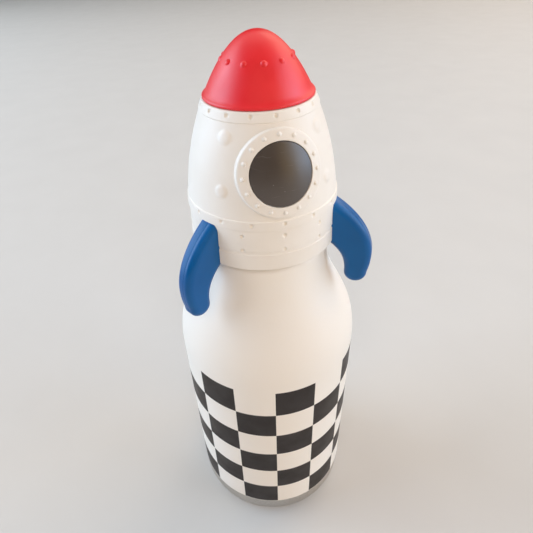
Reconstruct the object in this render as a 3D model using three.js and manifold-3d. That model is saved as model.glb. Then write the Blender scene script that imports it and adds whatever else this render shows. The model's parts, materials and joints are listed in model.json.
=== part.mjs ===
// Kids' insulated water bottle with a rocket-shaped screw-on lid.
// Millimetres, +Z up. The origin is the middle of the base, where the bottle stands, and the
// lid's round window faces -Y. An azimuth is counted from -Y towards +X.
import * as THREE from 'three';
import { mergeVertices } from 'three/addons/utils/BufferGeometryUtils.js';
import Module from 'manifold-3d';

const wasm = await Module();
wasm.setup();

// ---- driving dimensions ------------------------------------------------------------------

const GAP = 0.3; // clearance between neighbouring pieces
const SEGMENTS = 32; // round a full turn

// steel bottle
const BODY_R = 36.45;
const STEEL = 0.6; // sheet thickness
const VACUUM = 2.4; // space between the two walls
const PAINT_BOTTOM = 10; // the coat ends here, above the bare base cup
const FOOT_ROUND = 4.6; // rounding of the base cup's lower edge
const SHOULDER_Z = 98; // the straight wall ends here
const NECK_BASE_R = 23.6;
const NECK_BASE_Z = 141;
const NECK_R = 20.4; // under the thread
const NECK_STEP_Z = 147.6;
const RIM_Z = 162.2;
const THREAD_PITCH = 5;
const THREAD_TURNS = 1.8;
const THREAD_BEAD = 0.9;
const THREAD_RISE = 0.6; // how far the collar's thread stands into its bore
const THREAD_START_Z = 151;
const THREAD_STEPS = 18; // per turn

// lid shell: slightly flared skirt below WAIST_Z, ogive above it
const SKIRT_Z = 146.9;
const WAIST_Z = 158.5;
const WAIST_R = 25.6;
const SKIRT_FLARE = 0.035; // radius gained per mm below the waist
const OGIVE = 0.0061; // radius lost per mm squared above the waist
const HULL_TOP = 195.5;
const HULL_WALL = 1.5;
const HULL_TOP_BORE = 15.9;
const GROOVE = { low: 152.7, high: 153.8, depth: 0.3 };
const BELT = { low: 161.8, high: 165.1, height: 0.35 };
const TOP_BELT = { low: 192.7, height: 0.3 };
const BOSS = { r: 1.75, height: 0.7, azimuths: [-45, 42], heights: [173.6, 188.7] };

// nose cone: a paraboloid that carries on from the ogive
const NOSE_Z = HULL_TOP + GAP;
const NOSE_R = 17;
const NOSE_H = 17.3;
const NOSE_LIP = 0.3;
const NOSE_WALL = 1.5;
const LINER_WALL = 1.1;

// nose hinge, behind the rim
const HINGE_Y = 19.4;
const HINGE_Z = 195.6;
const KNUCKLE_R = 1.6;
const HINGE_PIN_R = 0.7;
const HINGE_BORE_R = 1;
const LUG_X = [5.4, 7.6]; // the hull's two lugs
const KNUCKLE_X = [2.5, 5.1]; // the nose's two knuckles, between the lugs

// round window, which is the push button that frees the nose
const WINDOW_Z = 178.9;
const WINDOW_R = 9.4;
const RING_IN = 9.7;
const RING_OUT = 13.1;
const RING_HEIGHT = 1.3;
const RING_SLEEVE_R = 10.9;
const HULL_HOLE_R = 11.2;
const BUTTON_PROUD = 1.5;
const BUTTON_FLANGE_R = 11;
const FLANGE_THICK = 1.2;
const SLEEVE_DEPTH = 0.6; // how far the ring's sleeve reaches behind the shell's wall
const STEM_END = -8.6; // along the window's axis, counted from the hull's surface

// latch lever behind the button
const LATCH_Y = -12.8;
const LATCH_Z = 185.5;
const LEVER = { halfWidth: 3, thick: 2, low: 175.3, high: 194.5 };
const LATCH_PIN_R = 1;
const LATCH_BORE_R = 1.3;
const SPRING_WIRE_R = 0.25;

// inner deck and drinking path
const DECK = { low: 191, high: 193, r: 16.3 };
const LATCH_LUG = { from: 3.9, to: 5.5, front: -14.6, back: -10.6, low: 183 };
const TUBE_R = 7.2;
const TUBE_BORE = 4;
const COLLAR = { low: 148.6, bore: 22.35, r: 23.45, deckLow: 163.5, deckHigh: 165.5 };
const BOSS_TUBE = { bore: 3.9, r: 5.6, top: 172 };
const STRAW = { r: 3.6, bore: 2.8, low: 12, high: 170 };
const SPOUT_TOP = 204.6;

// fins: nearly evenly spaced, the left one a touch closer to the window
const FIN_AZIMUTHS = [['fin_left', -58.3], ['fin_right', 60], ['fin_rear', 180]];
const FIN_ROOT_THICK = 8;
const FIN_TIP_THICK = 6;
const FIN_REACH = 39.8;
const FIN_EDGE = 2.4; // edge rounding
const TENON = { thick: 3, low: 150.5, high: 158.5 };

const COLOURS = {
  cream: 0xf3ece1, steel: 0xb9bcc0, red: 0xd9262e, blue: 0x255a8f, black: 0x3b3836,
  clear: 0xdfe4e6, grey: 0x8d9196,
};
const FINISH = {
  coat: [COLOURS.cream, 0.45, 0], steel: [COLOURS.steel, 0.35, 1], cream: [COLOURS.cream, 0.5, 0],
  red: [COLOURS.red, 0.45, 0], blue: [COLOURS.blue, 0.4, 0], black: [COLOURS.black, 0.35, 0],
  silicone: [COLOURS.clear, 0.6, 0], plastic: [COLOURS.grey, 0.5, 0],
};

// ---- helpers -----------------------------------------------------------------------------

const rad = THREE.MathUtils.degToRad;

/** Turns a closed three.js geometry into a solid, with shared vertices and no empty faces. */
function solid(geometry) {
  const bare = geometry.index ? geometry.toNonIndexed() : geometry.clone();
  bare.deleteAttribute('normal');
  bare.deleteAttribute('uv');
  const merged = mergeVertices(bare, 1e-4);
  const index = merged.index.array;
  const kept = [];
  for (let i = 0; i < index.length; i += 3) {
    const [a, b, c] = [index[i], index[i + 1], index[i + 2]];
    if (a !== b && b !== c && a !== c) kept.push(a, b, c);
  }
  return new wasm.Manifold(new wasm.Mesh({
    numProp: 3,
    vertProperties: new Float32Array(merged.attributes.position.array),
    triVerts: new Uint32Array(kept),
  }));
}

/** Ring or disc of revolution about Z from a closed outline of [radius, height] points. */
function revolve(outline, segments = SEGMENTS) {
  const area = outline.reduce((sum, [r, z], i) => {
    const [nextR, nextZ] = outline[(i + 1) % outline.length];
    return sum + r * nextZ - nextR * z;
  }, 0);
  const anticlockwise = area > 0 ? outline : [...outline].reverse();
  const points = anticlockwise.map(([r, z]) => new THREE.Vector2(r, z));
  const onAxis = points.findIndex((p, i) => p.x === 0 && points[(i + 1) % points.length].x === 0);
  if (onAxis >= 0) points.push(...points.splice(0, onAxis + 1));
  else points.push(points[0].clone());
  return solid(new THREE.LatheGeometry(points, segments).rotateX(Math.PI / 2));
}

/** Cylinder along `axis`, from `from` to `to` on that axis, through `centre`. */
function rod(axis, r, from, to, centre = [0, 0, 0], segments = 20) {
  const geometry = new THREE.CylinderGeometry(r, r, to - from, segments).translate(0, (from + to) / 2, 0);
  if (axis === 'x') geometry.rotateZ(-Math.PI / 2);
  if (axis === 'z') geometry.rotateX(Math.PI / 2);
  return solid(geometry.translate(...centre));
}

/** Box from its lowest to its highest corner. */
function block(low, high) {
  const size = high.map((v, i) => v - low[i]);
  const middle = high.map((v, i) => (v + low[i]) / 2);
  return solid(new THREE.BoxGeometry(...size).translate(...middle));
}

/** Round wire swept along a smooth curve through the points. */
function wire(points, r, steps, sides = 6) {
  const section = new THREE.Shape();
  for (let i = 0; i <= sides; i += 1) {
    const angle = (i / sides) * 2 * Math.PI;
    const [x, y] = [r * Math.cos(angle), r * Math.sin(angle)];
    if (i === 0) section.moveTo(x, y);
    else if (i < sides) section.lineTo(x, y);
  }
  const path = new THREE.CatmullRomCurve3(points);
  return solid(new THREE.ExtrudeGeometry(section, {
    steps: Math.round(steps), extrudePath: path, bevelEnabled: false,
  }));
}

/** Points of a helix about Z. */
function helix(r, startZ, pitch, turns, perTurn, startAngle = 0) {
  const count = Math.round(turns * perTurn);
  return Array.from({ length: count + 1 }, (_, i) => {
    const angle = startAngle + (i / perTurn) * 2 * Math.PI;
    return new THREE.Vector3(r * Math.cos(angle), r * Math.sin(angle), startZ + (pitch * i) / perTurn);
  });
}

/** Points on a cubic curve between two [radius, height] ends. */
function curve(p0, p1, p2, p3, count) {
  const bezier = new THREE.CubicBezierCurve(...[p0, p1, p2, p3].map(([x, y]) => new THREE.Vector2(x, y)));
  return bezier.getPoints(count).map((p) => [p.x, p.y]);
}

/** Points on a circular arc in the [radius, height] plane, angles in degrees. */
function arc(centreR, centreZ, r, from, to, count = 3) {
  return Array.from({ length: count + 1 }, (_, i) => {
    const angle = rad(from + ((to - from) * i) / count);
    return [centreR + r * Math.cos(angle), centreZ + r * Math.sin(angle)];
  });
}

/** Low dome on a surface at `centre`, facing `normal`. */
function dome(centre, normal, r, height) {
  const geometry = new THREE.SphereGeometry(1, 6, 4);
  const turn = new THREE.Quaternion().setFromUnitVectors(new THREE.Vector3(0, 1, 0), normal);
  geometry.scale(r, height, r).applyQuaternion(turn).translate(centre.x, centre.y, centre.z);
  return solid(geometry);
}

const join = (...solids) => solids.reduce((all, next) => all.add(next));
const cut = (from, ...tools) => tools.reduce((rest, tool) => rest.subtract(tool), from);

/** A named mesh with its colour, roughness and metalness. */
function part(name, body, [color, roughness, metalness]) {
  const mesh = body.getMesh();
  const geometry = new THREE.BufferGeometry();
  geometry.setAttribute('position', new THREE.BufferAttribute(new Float32Array(mesh.vertProperties), 3));
  geometry.setIndex(new THREE.BufferAttribute(new Uint32Array(mesh.triVerts), 1));
  geometry.computeVertexNormals();
  const material = new THREE.MeshStandardMaterial({ color, roughness, metalness });
  const result = new THREE.Mesh(geometry, material);
  result.name = name;
  return result;
}

// ---- steel bottle ------------------------------------------------------------------------

const linerR = BODY_R - STEEL - VACUUM;
const linerNeckR = NECK_R - STEEL - GAP;

/** Painted outer wall, open at the bottom, with the neck and its rolled thread. */
function outerShell() {
  const inner = NECK_BASE_R - STEEL;
  const outside = [
    [BODY_R, PAINT_BOTTOM],
    ...curve([BODY_R, SHOULDER_Z], [BODY_R, 119], [24, 124], [NECK_BASE_R, NECK_BASE_Z], 7),
    [NECK_BASE_R, 144.4], [NECK_R, NECK_STEP_Z], [NECK_R, RIM_Z - 1],
  ];
  const inside = [
    [NECK_R - STEEL, RIM_Z - 1], [NECK_R - STEEL, NECK_STEP_Z - 0.3], [inner, 144.1],
    ...curve([inner, NECK_BASE_Z], [23.4, 123.4], [BODY_R - STEEL, 118.6], [BODY_R - STEEL, SHOULDER_Z], 7),
    [BODY_R - STEEL, PAINT_BOTTOM],
  ];
  const thread = wire(
    helix(NECK_R, THREAD_START_Z, THREAD_PITCH, THREAD_TURNS, THREAD_STEPS),
    THREAD_BEAD, THREAD_TURNS * THREAD_STEPS, 5,
  );
  const bore = rod('z', NECK_R - STEEL, NECK_STEP_Z, RIM_Z, [0, 0, 0], SEGMENTS);
  return cut(join(revolve([...outside, ...inside]), thread), bore);
}

/** Steel liner that holds the drink. Its lip folds over the outer wall's top edge. */
function innerVessel() {
  const [r, neck, low] = [linerR, linerNeckR, 6.5];
  const outside = [
    [0, low], [r - 5, low], ...arc(r - 5, low + 5, 5, -60, 0, 2),
    ...curve([r, 97], [r, 115], [20.2, 121], [neck, 139], 5),
    [neck, RIM_Z - 0.7], [NECK_R, RIM_Z - 0.7], [NECK_R, RIM_Z],
  ];
  const inside = [
    [neck - STEEL, RIM_Z],
    ...curve([neck - STEEL, 139], [19.6, 120.6], [r - STEEL, 114.6], [r - STEEL, 97], 5),
    ...arc(r - 5, low + 5, 5 - STEEL, 0, -60, 2), [r - 5, low + STEEL], [0, low + STEEL],
  ];
  return revolve([...outside, ...inside]);
}

/** Bare steel cup that closes the outer wall, with a foot ring and a raised centre. */
function baseCup() {
  const [r, recess, locate] = [BODY_R - 0.15, 2.4, BODY_R - STEEL - 0.35];
  return revolve([
    [2.5, recess], [27, recess], [28, recess - 1], [28, 0],
    ...arc(r - FOOT_ROUND, FOOT_ROUND, FOOT_ROUND, -90, 0),
    [r, PAINT_BOTTOM - GAP], [locate, PAINT_BOTTOM - GAP], [locate, 13], [locate - STEEL, 13],
    [locate - STEEL, 9.2], [r - STEEL, 9], ...arc(r - FOOT_ROUND, FOOT_ROUND, FOOT_ROUND - STEEL, 0, -90),
    [28.6, STEEL], [28.6, recess - 0.8], [27.3, recess + STEEL], [2.5, recess + STEEL],
  ]);
}

/** Flat cover plate that fills the foot ring. */
function basePlate() {
  return revolve([[0, 0], [27.4, 0], [27.7, 0.2], [27.7, STEEL], [0, STEEL]]);
}

/** Small disc under the port that the space between the walls was emptied through. */
function vacuumSeal() {
  return revolve([[0, 1.1], [5, 1.1], [5, 1.9], [0, 1.9]], 20);
}

// ---- lid shell ---------------------------------------------------------------------------

/** Smooth outer radius of the lid's shell at a height. */
function hullR(z) {
  return z < WAIST_Z ? WAIST_R + SKIRT_FLARE * (WAIST_Z - z) : WAIST_R - OGIVE * (z - WAIST_Z) ** 2;
}

/** Heights of the ogive's rings, from one height to another. */
function rings(from, to, count) {
  return Array.from({ length: count + 1 }, (_, i) => from + ((to - from) * i) / count);
}

/** Solid bounded by the shell's smooth surface moved out by `offset`. */
function skin(offset) {
  const side = [...rings(SKIRT_Z - 4, WAIST_Z, 2), ...rings(WAIST_Z + 4, HULL_TOP + 1, 6)];
  return revolve([[0, SKIRT_Z - 4], ...side.map((z) => [hullR(z) + offset, z]), [0, HULL_TOP + 1]]);
}

/** How fast the ogive's radius shrinks with height, which is also its normal's rise per unit out. */
const ogiveSlope = (z) => 2 * OGIVE * (z - WAIST_Z);

const windowTilt = Math.atan(1 / ogiveSlope(WINDOW_Z)); // between the window's axis and +Z
const windowCentre = new THREE.Vector3(0, -hullR(WINDOW_Z), WINDOW_Z);

/** Cylinder along the window's axis, heights counted outwards from the shell's surface. */
function windowRod(r, from, to, tipR = r, segments = 32) {
  const geometry = new THREE.CylinderGeometry(r, tipR, to - from, segments).translate(0, (from + to) / 2, 0);
  return solid(geometry.rotateX(Math.PI / 2 + windowTilt).translate(...windowCentre));
}

/** Cream shell with its belts, groove and bosses, the window's hole, fin slots and hinge lugs. */
function rocketHull() {
  const outside = [
    [hullR(SKIRT_Z) - 0.5, SKIRT_Z], [hullR(SKIRT_Z), SKIRT_Z + 0.5],
    [hullR(GROOVE.low), GROOVE.low], [hullR(GROOVE.low) - GROOVE.depth, GROOVE.low + 0.2],
    [hullR(GROOVE.high) - GROOVE.depth, GROOVE.high - 0.2], [hullR(GROOVE.high), GROOVE.high],
    [WAIST_R, WAIST_Z], [hullR(BELT.low), BELT.low], [hullR(BELT.low) + BELT.height, BELT.low + 0.3],
    [hullR(BELT.high) + BELT.height, BELT.high - 0.3], [hullR(BELT.high), BELT.high],
    ...rings(BELT.high + 3, TOP_BELT.low, 6).map((z) => [hullR(z), z]),
    [hullR(TOP_BELT.low) + TOP_BELT.height, TOP_BELT.low + 0.3],
    [hullR(HULL_TOP) + TOP_BELT.height, HULL_TOP],
  ];
  const inside = [
    [HULL_TOP_BORE, HULL_TOP], [HULL_TOP_BORE, DECK.high + GAP],
    ...rings(DECK.high + GAP, WAIST_Z, 5).map((z) => [hullR(z) - HULL_WALL, z]),
    [hullR(SKIRT_Z) - HULL_WALL, SKIRT_Z],
  ];
  const bosses = BOSS.azimuths.flatMap((azimuth) => BOSS.heights.map((z) => boss(azimuth, z)));
  const lugs = [-1, 1].flatMap((side) => hingeEar(LUG_X, side, 16.2, 190.8, NOSE_Z - 0.4));
  const slotHalf = TENON.thick / 2 + GAP;
  const slot = block([20, -slotHalf, TENON.low - GAP], [30, slotHalf, TENON.high + GAP]);
  const slots = FIN_AZIMUTHS.map(([, azimuth]) => turnToFin(slot, azimuth));
  const deckRoom = revolve([[0, 189], [17.4, 189], [16.9, 192.8], [0, 192.8]]);
  return cut(
    join(revolve([...outside, ...inside]), ...bosses, ...lugs),
    deckRoom, windowRod(HULL_HOLE_R, -12, 6), ...slots, hingeBore(),
  );
}

/** Low round boss on the ogive. */
function boss(azimuthDegrees, z) {
  const azimuth = rad(azimuthDegrees);
  const out = new THREE.Vector3(Math.sin(azimuth), -Math.cos(azimuth), 0);
  const centre = out.clone().multiplyScalar(hullR(z)).setZ(z);
  return dome(centre, out.setZ(ogiveSlope(z)).normalize(), BOSS.r, BOSS.height);
}

/** One ear of the nose hinge on either side: a web from the shell and the knuckle at its end. */
function hingeEar(xRange, side, webFront, webLow, webHigh) {
  const [from, to] = xRange.map((x) => x * side).sort((a, b) => a - b);
  return [
    block([from, webFront, webLow], [to, HINGE_Y, webHigh]),
    rod('x', KNUCKLE_R, from, to, [0, HINGE_Y, HINGE_Z]),
  ];
}

/** Hole for the nose hinge's pin. */
function hingeBore() {
  return rod('x', HINGE_BORE_R, -9, 9, [0, HINGE_Y, HINGE_Z], 12);
}

/** Raised ring round the window, with a sleeve through the shell. */
function windowRing() {
  const flange = cut(windowRod(RING_OUT, -7, 4).intersect(skin(RING_HEIGHT)), skin(GAP));
  const sleeve = cut(
    windowRod(RING_SLEEVE_R, -7, 4).intersect(skin(RING_HEIGHT)), skin(-HULL_WALL - SLEEVE_DEPTH),
  );
  return cut(join(flange, sleeve), windowRod(RING_IN, -12, 8));
}

/** Dark domed push button: its flange stays behind the ring, its stem meets the lever. */
function windowButton() {
  const front = -HULL_WALL - SLEEVE_DEPTH - GAP; // of the flange
  const back = skin(front - FLANGE_THICK);
  const face = cut(windowRod(WINDOW_R, -9, 6).intersect(skin(BUTTON_PROUD)), back);
  const flange = cut(windowRod(BUTTON_FLANGE_R, -9, 2).intersect(skin(front)), back);
  const stem = windowRod(1.7, STEM_END, 0, 1, 14);
  return join(face, flange, stem);
}

// ---- fins --------------------------------------------------------------------------------

/** Turns a solid that points along +X to face a fin's azimuth. */
function turnToFin(body, azimuth) {
  return body.rotate([0, 0, azimuth - 90]);
}

/** Crescent fin that sweeps out and down from the shell, thinner towards its outer edge. */
function fin(azimuth) {
  const shape = new THREE.Shape();
  shape.moveTo(22, 147.3);
  shape.lineTo(22, 163.8);
  shape.bezierCurveTo(30, 159.8, FIN_REACH, 152, FIN_REACH, 140.6);
  shape.bezierCurveTo(FIN_REACH, 137.4, 39.4, 135.2, 38.9, 133.4);
  shape.absarc(34.8, 132.9, 4.1, 0, -Math.PI, true);
  shape.bezierCurveTo(30.8, 138.3, 29, 142.9, 22, 147.3);
  const geometry = new THREE.ExtrudeGeometry(shape, {
    depth: FIN_ROOT_THICK - 2 * FIN_EDGE, bevelThickness: FIN_EDGE, bevelSize: FIN_EDGE,
    bevelOffset: -FIN_EDGE, bevelSegments: 3, curveSegments: 7,
  }).translate(0, 0, FIN_EDGE - FIN_ROOT_THICK / 2).rotateX(Math.PI / 2);
  const place = geometry.attributes.position;
  for (let i = 0; i < place.count; i += 1) {
    const out = THREE.MathUtils.clamp((place.getX(i) - WAIST_R) / (FIN_REACH - WAIST_R), 0, 1);
    place.setY(i, place.getY(i) * THREE.MathUtils.lerp(1, FIN_TIP_THICK / FIN_ROOT_THICK, out));
  }
  const blade = turnToFin(solid(geometry), azimuth);
  const tenon = block([24.05, -TENON.thick / 2, TENON.low], [28, TENON.thick / 2, TENON.high]);
  const belt = revolve([
    [0, BELT.low - GAP], [hullR(BELT.low) + BELT.height + GAP, BELT.low - GAP],
    [hullR(BELT.high) + BELT.height + GAP, BELT.high], [0, BELT.high],
  ]);
  return join(cut(blade, skin(GAP), belt), turnToFin(tenon, azimuth));
}

// ---- nose --------------------------------------------------------------------------------

/** Profile points of a paraboloid from its rim to its tip. */
function paraboloid(rimR, rimZ, height, count) {
  return Array.from({ length: count + 1 }, (_, i) => {
    const share = i / count;
    return [rimR * (1 - share), rimZ + height * (1 - (1 - share) ** 2)];
  });
}

/** Opening at the back of the rim that lets the hinge knuckles through. */
function hingeNotch() {
  return block([-5.4, 12, NOSE_Z - 2], [5.4, 22, NOSE_Z + 1.75]);
}

/** Soft red outer skin of the nose. */
function noseCone() {
  const outside = paraboloid(NOSE_R, NOSE_Z, NOSE_H, 7);
  const inside = paraboloid(NOSE_R - NOSE_WALL, NOSE_Z, NOSE_H - NOSE_WALL, 5).reverse();
  const lip = [[NOSE_R + NOSE_LIP, NOSE_Z], [NOSE_R + NOSE_LIP, NOSE_Z + 0.9]];
  return cut(revolve([...inside, ...lip, ...outside.slice(1)]), hingeNotch());
}

/** Stiff liner of the nose: hinge knuckles behind, catch in front, post for the stopper. */
function noseFrame() {
  const r = NOSE_R - NOSE_WALL - 0.35;
  const [low, height] = [NOSE_Z + 0.1, NOSE_H - NOSE_WALL - 0.5];
  const outside = paraboloid(r, low, height, 6);
  const inside = paraboloid(r - LINER_WALL, low, height - LINER_WALL, 5).reverse().slice(1);
  const shell = revolve([
    [0, 207.1], [1.6, 207.1], [1.6, low + height - 1.6], ...inside, ...outside,
  ], 28);
  const knuckles = [-1, 1].flatMap((side) => hingeEar(KNUCKLE_X, side, 13.6, low, NOSE_Z + 1.4));
  const catchTab = join(
    block([-2.6, -9.4, 191.4], [2.6, -8, 197.2]), block([-2.6, -10.2, 191.4], [2.6, -9.2, 192.6]),
    block([-2.6, -14.4, 196.2], [2.6, -8, 197.4]),
  );
  return cut(join(shell, ...knuckles, catchTab), hingeBore());
}

/** Soft pad on the nose's post that closes the spout. */
function spoutStopper() {
  return revolve([[0, SPOUT_TOP + 0.4], [4.4, SPOUT_TOP + 0.4], [4.8, 205.6], [4.4, 206.7], [0, 206.7]], 24);
}

/** Steel pin of the nose hinge. */
function noseHingePin() {
  return rod('x', HINGE_PIN_R, -7.8, 7.8, [0, HINGE_Y, HINGE_Z], 12);
}

/** Torsion spring: coils about X through `centre`, with one straight leg along `leg`. */
function torsionSpring(centre, coilR, wireR, fromX, toX, turns, leg) {
  const coil = helix(coilR, fromX, (toX - fromX) / turns, turns, 9).map((p) => new THREE.Vector3(
    p.z + centre[0], p.x + centre[1], p.y + centre[2],
  ));
  const last = coil[coil.length - 1];
  const end = last.clone().add(new THREE.Vector3(...leg));
  return wire([...coil, last.clone().lerp(end, 0.5), end], wireR, turns * 9 + 2, 4);
}

/** Spring that throws the nose open, on the hinge pin between the knuckles. */
function noseSpring() {
  return torsionSpring([0, HINGE_Y, HINGE_Z], 1.3, SPRING_WIRE_R, -2, 2, 5, [0, 0, 1]);
}

/** Spring that swings the latch lever back and pushes the button out. */
function latchSpring() {
  return torsionSpring([0, LATCH_Y, LATCH_Z], 1.65, SPRING_WIRE_R, 1.4, 3.1, 3, [0, 0, -4]);
}

// ---- lid insides -------------------------------------------------------------------------

/** Collar that screws on the neck, with a deck and a short tube for the straw. */
function lidCollar() {
  const { low, bore, r, deckLow, deckHigh } = COLLAR;
  const body = revolve([
    [BOSS_TUBE.bore, deckLow - 2], [BOSS_TUBE.r, deckLow - 2], [BOSS_TUBE.r, deckLow],
    [bore, deckLow], [bore, low], [r, low], [r, deckHigh - 0.4], [r - 0.4, deckHigh],
    [BOSS_TUBE.r, deckHigh], [BOSS_TUBE.r, BOSS_TUBE.top], [BOSS_TUBE.bore, BOSS_TUBE.top],
  ]);
  const beadR = bore - THREAD_RISE + THREAD_BEAD;
  const turns = helix(beadR, THREAD_START_Z + 0.2, THREAD_PITCH, THREAD_TURNS, THREAD_STEPS, Math.PI);
  const thread = wire(turns, THREAD_BEAD, THREAD_TURNS * THREAD_STEPS, 5);
  const outer = revolve([[r, low - 1], [r + 3, low - 1], [r + 3, deckHigh], [r, deckHigh]]);
  return cut(join(body, thread), outer, rod('z', 1.1, 160, 168, [0, 11, 0], 12));
}

/** Seal ring between the collar's deck and the neck's rim. */
function lidGasket() {
  const [low, high] = [RIM_Z + GAP, COLLAR.deckLow - GAP];
  return revolve([[18.6, low], [21.6, low], [21.9, (low + high) / 2], [21.6, high], [18.6, high]]);
}

/** Inner deck with the drinking tube, the latch's slot and its two lugs. */
function spoutDeck() {
  const socket = BOSS_TUBE.r + GAP;
  const body = revolve([
    [socket, 167], [TUBE_R, 167], [TUBE_R, DECK.low], [DECK.r, DECK.low], [DECK.r, DECK.high],
    [TUBE_BORE, DECK.high], [TUBE_BORE, 173.3], [socket, 173.3],
  ], 32);
  const lugs = [-1, 1].map((side) => {
    const [from, to] = [LATCH_LUG.from * side, LATCH_LUG.to * side].sort((a, b) => a - b);
    return block([from, LATCH_LUG.front, LATCH_LUG.low], [to, LATCH_LUG.back, DECK.low + 0.5]);
  });
  return cut(
    join(body, ...lugs), block([-3.5, -15.3, 189], [3.5, -7.5, 195]),
    rod('x', LATCH_BORE_R, -7, 7, [0, LATCH_Y, LATCH_Z], 12),
  );
}

/** Seal ring where the drinking tube meets the collar's tube. */
function tubeSeal() {
  return revolve([[4.2, 172.3], [5.5, 172.3], [5.5, 173], [4.2, 173]], 24);
}

/** Soft mouthpiece that stands on the inner deck. */
function spout() {
  const low = DECK.high + GAP;
  return revolve([
    [2.6, low], [6.6, low], [6.6, low + 1.2], [4.6, low + 1.9], [3.9, low + 5],
    [4, SPOUT_TOP - 2], [4.4, SPOUT_TOP - 1], [4, SPOUT_TOP - 0.2], [3.4, SPOUT_TOP],
    [2.4, SPOUT_TOP], [2.2, SPOUT_TOP - 2],
  ], 24);
}

/** Straw, cut level at the bottom, that reaches nearly to the vessel's floor. */
function straw() {
  const { r, bore, low, high } = STRAW;
  return revolve([[bore, low], [r, low], [r, high], [bore, high]], 16);
}

/** Small mushroom valve that lets air into the bottle. */
function ventValve() {
  const [under, over] = [COLLAR.deckLow - GAP, COLLAR.deckHigh + GAP];
  return revolve([
    [0, under - 0.8], [2.6, under - 0.3], [2.6, under], [0.7, under], [0.7, over], [1.4, over],
    [1, over + 1], [0, over + 1.2],
  ], 14).translate([0, 11, 0]);
}

/** Rocking lever: the stem pushes its lower end, its hook holds the nose's catch. */
function latchLever() {
  const { halfWidth, thick, low, high } = LEVER;
  const [front, back] = [LATCH_Y - thick / 2, LATCH_Y + thick / 2];
  const body = join(
    block([-halfWidth, front, low], [halfWidth, back, high]),
    block([-halfWidth, front + 0.2, high - 1.2], [halfWidth, back + 0.9, high]),
    rod('x', 2.2, -halfWidth, halfWidth, [0, LATCH_Y, LATCH_Z], 16),
  );
  return cut(
    body, rod('x', LATCH_BORE_R, -7, 7, [0, LATCH_Y, LATCH_Z], 12),
    block([0.8, LATCH_Y - 3, LATCH_Z - 2.4], [4, LATCH_Y + 3, LATCH_Z + 2.4]),
  );
}

/** Steel pin that the lever rocks on. */
function latchPin() {
  return rod('x', LATCH_PIN_R, -5.8, 5.8, [0, LATCH_Y, LATCH_Z], 12);
}

// ---- assembly ----------------------------------------------------------------------------

const bottle = new THREE.Group();
bottle.add(
  part('outer_shell', outerShell(), FINISH.coat),
  part('inner_vessel', innerVessel(), FINISH.steel),
  part('base_cup', baseCup(), FINISH.steel),
  part('base_plate', basePlate(), FINISH.steel),
  part('vacuum_seal', vacuumSeal(), FINISH.steel),
);

const lid = new THREE.Group();
lid.add(
  part('rocket_hull', rocketHull(), FINISH.cream),
  part('window_ring', windowRing(), FINISH.cream),
  part('window_button', windowButton(), FINISH.black),
  ...FIN_AZIMUTHS.map(([name, azimuth]) => part(name, fin(azimuth), FINISH.blue)),
  part('lid_collar', lidCollar(), FINISH.cream),
  part('lid_gasket', lidGasket(), FINISH.silicone),
  part('spout_deck', spoutDeck(), FINISH.cream),
  part('tube_seal', tubeSeal(), FINISH.silicone),
  part('spout', spout(), FINISH.silicone),
  part('straw', straw(), FINISH.plastic),
  part('vent_valve', ventValve(), FINISH.silicone),
  part('latch_lever', latchLever(), FINISH.plastic),
  part('latch_pin', latchPin(), FINISH.steel),
  part('latch_spring', latchSpring(), FINISH.steel),
);

const nose = new THREE.Group();
nose.add(
  part('nose_cone', noseCone(), FINISH.red),
  part('nose_frame', noseFrame(), FINISH.plastic),
  part('spout_stopper', spoutStopper(), FINISH.silicone),
  part('nose_hinge_pin', noseHingePin(), FINISH.steel),
  part('nose_spring', noseSpring(), FINISH.steel),
);

const model = new THREE.Group();
model.add(bottle, lid, nose);
export default model;
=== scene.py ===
"""Looks of a kids' insulated bottle with a rocket lid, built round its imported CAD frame.

The frame is in metres, +Z up, with the lid's round window facing -Y. Shapes are worked out in millimetres and
scaled when a mesh is made. An azimuth is in degrees, counted from -Y towards +X.
"""
import json
import math

import bmesh
import bpy
import numpy as np
from mathutils import Matrix, Vector


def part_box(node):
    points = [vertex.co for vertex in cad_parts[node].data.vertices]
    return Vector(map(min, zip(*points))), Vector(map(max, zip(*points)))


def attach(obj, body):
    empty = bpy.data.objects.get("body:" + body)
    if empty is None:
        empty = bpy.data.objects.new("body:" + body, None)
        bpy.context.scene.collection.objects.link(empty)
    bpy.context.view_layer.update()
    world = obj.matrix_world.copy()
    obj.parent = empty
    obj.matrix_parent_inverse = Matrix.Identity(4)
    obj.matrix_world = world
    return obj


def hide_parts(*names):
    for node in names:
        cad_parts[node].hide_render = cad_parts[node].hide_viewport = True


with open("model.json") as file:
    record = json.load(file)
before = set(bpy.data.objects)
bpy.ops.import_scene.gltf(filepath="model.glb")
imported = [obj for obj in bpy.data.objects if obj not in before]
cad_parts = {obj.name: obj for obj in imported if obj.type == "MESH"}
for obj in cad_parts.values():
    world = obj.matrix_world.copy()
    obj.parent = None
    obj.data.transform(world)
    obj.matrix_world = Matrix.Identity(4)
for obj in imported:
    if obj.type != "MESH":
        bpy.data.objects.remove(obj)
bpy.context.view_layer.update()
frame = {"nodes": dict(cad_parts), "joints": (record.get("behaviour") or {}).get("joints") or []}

# ---- sizes, in millimetres, from the frame and from the part's own drawing -----------------------

MM = 0.001
GAP = 0.3  # clearance that the frame keeps between neighbours


def corners(node):
    """A CAD node's lowest and highest corners, in millimetres."""
    low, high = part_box(node)
    return low / MM, high / MM


def joint(name):
    """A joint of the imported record, by its name."""
    return next(j for j in frame["joints"] if j["name"] == name)


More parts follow.
